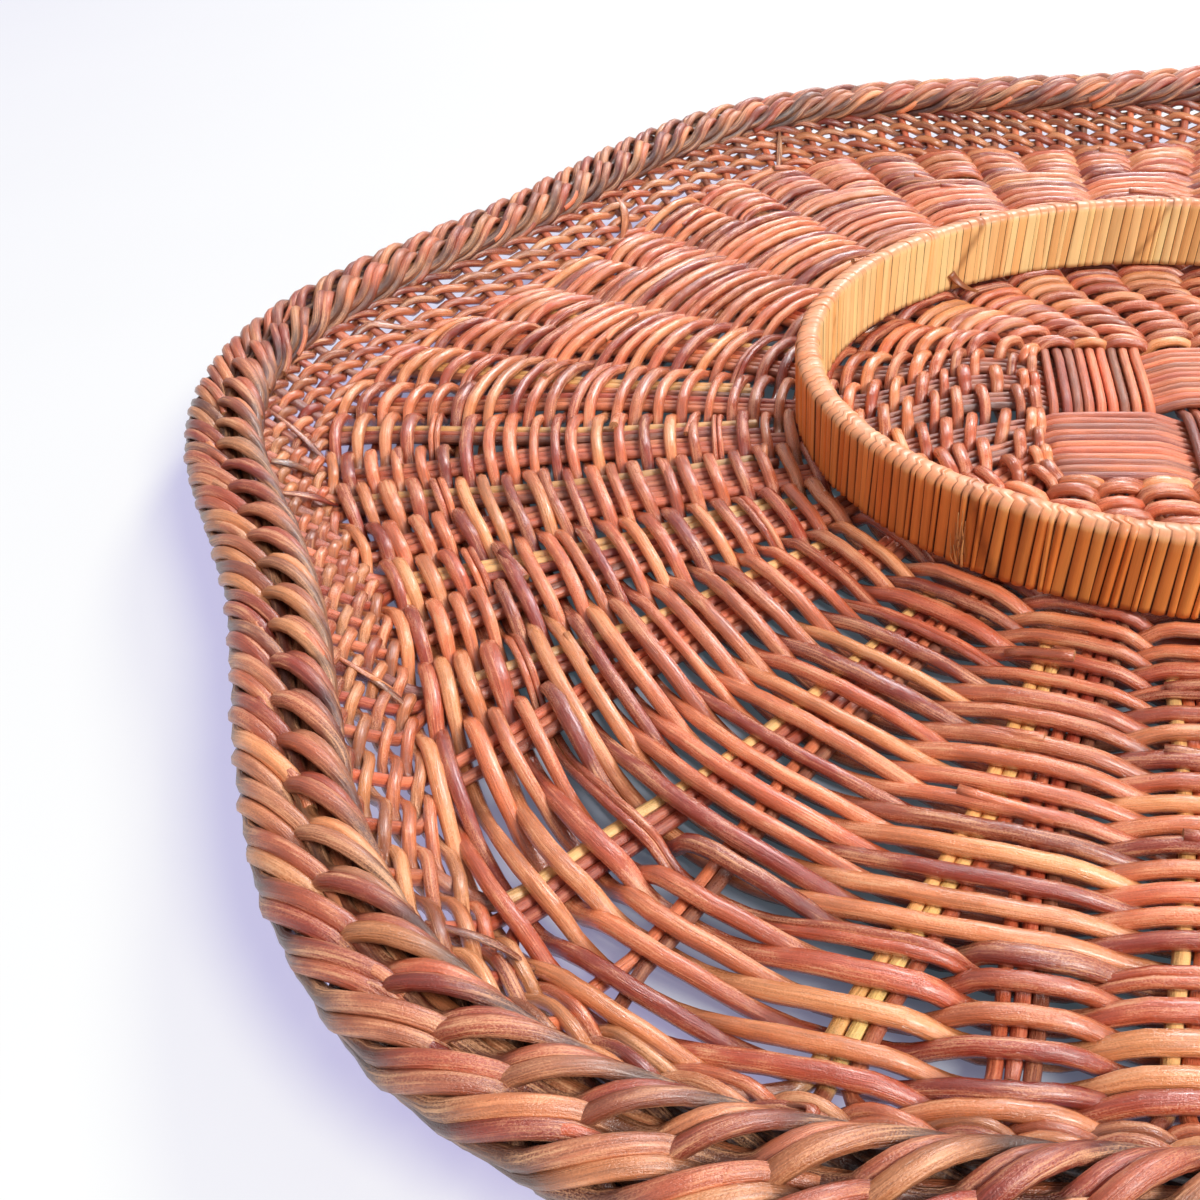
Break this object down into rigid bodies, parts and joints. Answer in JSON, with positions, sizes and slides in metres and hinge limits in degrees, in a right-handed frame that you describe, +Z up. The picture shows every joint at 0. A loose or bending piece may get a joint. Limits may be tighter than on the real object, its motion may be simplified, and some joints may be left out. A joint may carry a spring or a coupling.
{
  "type": "wicker tray",
  "caption": "Round woven tray with a wavy plaited border, low flared wall and a raised cane-wrapped ring that seats a bowl.",
  "frame": {"origin": "on the table under the middle of the ring, at the bottom centre of the tray", "axes": "+Z up; +X and +Y along the two directions of the base cross"},
  "size_m": [0.418, 0.3866, 0.0236],
  "materials": {
    "rods": "glossy varnish over brown stain",
    "side_stakes": "glossy varnish, one rod left pale",
    "weavers": "glossy varnish over reddish stain",
    "hoop": "plain wood, hidden under the cane",
    "cane": "glossy split cane",
    "border": "worn varnish"
  },
  "bodies": {
    "root": {"base_rods_x1": "rods", "base_rods_x2": "rods", "base_rods_x3": "rods", "base_rods_x4": "rods", "base_rods_x5": "rods", "base_rods_x6": "rods", "base_rods_x7": "rods", "base_rods_x8": "rods", "base_rods_y1": "rods", "base_rods_y2": "rods", "base_rods_y3": "rods", "base_rods_y4": "rods", "base_rods_y5": "rods", "base_rods_y6": "rods", "side_stake_01": "side_stakes", "side_stake_02": "side_stakes", "side_stake_03": "side_stakes", "side_stake_04": "side_stakes", "side_stake_05": "side_stakes", "side_stake_06": "side_stakes", "side_stake_07": "side_stakes", "side_stake_08": "side_stakes", "side_stake_09": "side_stakes", "side_stake_10": "side_stakes", "side_stake_11": "side_stakes", "side_stake_12": "side_stakes", "side_stake_13": "side_stakes", "side_stake_14": "side_stakes", "side_stake_15": "side_stakes", "side_stake_16": "side_stakes", "side_stake_17": "side_stakes", "side_stake_18": "side_stakes", "side_stake_19": "side_stakes", "side_stake_20": "side_stakes", "side_stake_21": "side_stakes", "side_stake_22": "side_stakes", "side_stake_23": "side_stakes", "side_stake_24": "side_stakes", "side_stake_25": "side_stakes", "side_stake_26": "side_stakes", "side_stake_27": "side_stakes", "side_stake_28": "side_stakes", "inner_weave_1": "weavers", "inner_weave_2": "weavers", "ring_seat_weave_1": "weavers", "outer_weave_1": "weavers", "outer_weave_2": "weavers", "outer_weave_3": "weavers", "outer_weave_4": "weavers", "outer_weave_5": "weavers", "ring_hoop": "hoop", "cane_wrap": "cane", "wall_weaver_1": "weavers", "wall_weaver_2": "weavers", "wall_weaver_3": "weavers", "wall_weaver_4": "weavers", "border_strand_1": "border", "border_strand_2": "border", "border_strand_3": "border"}
  },
  "joints": []
}
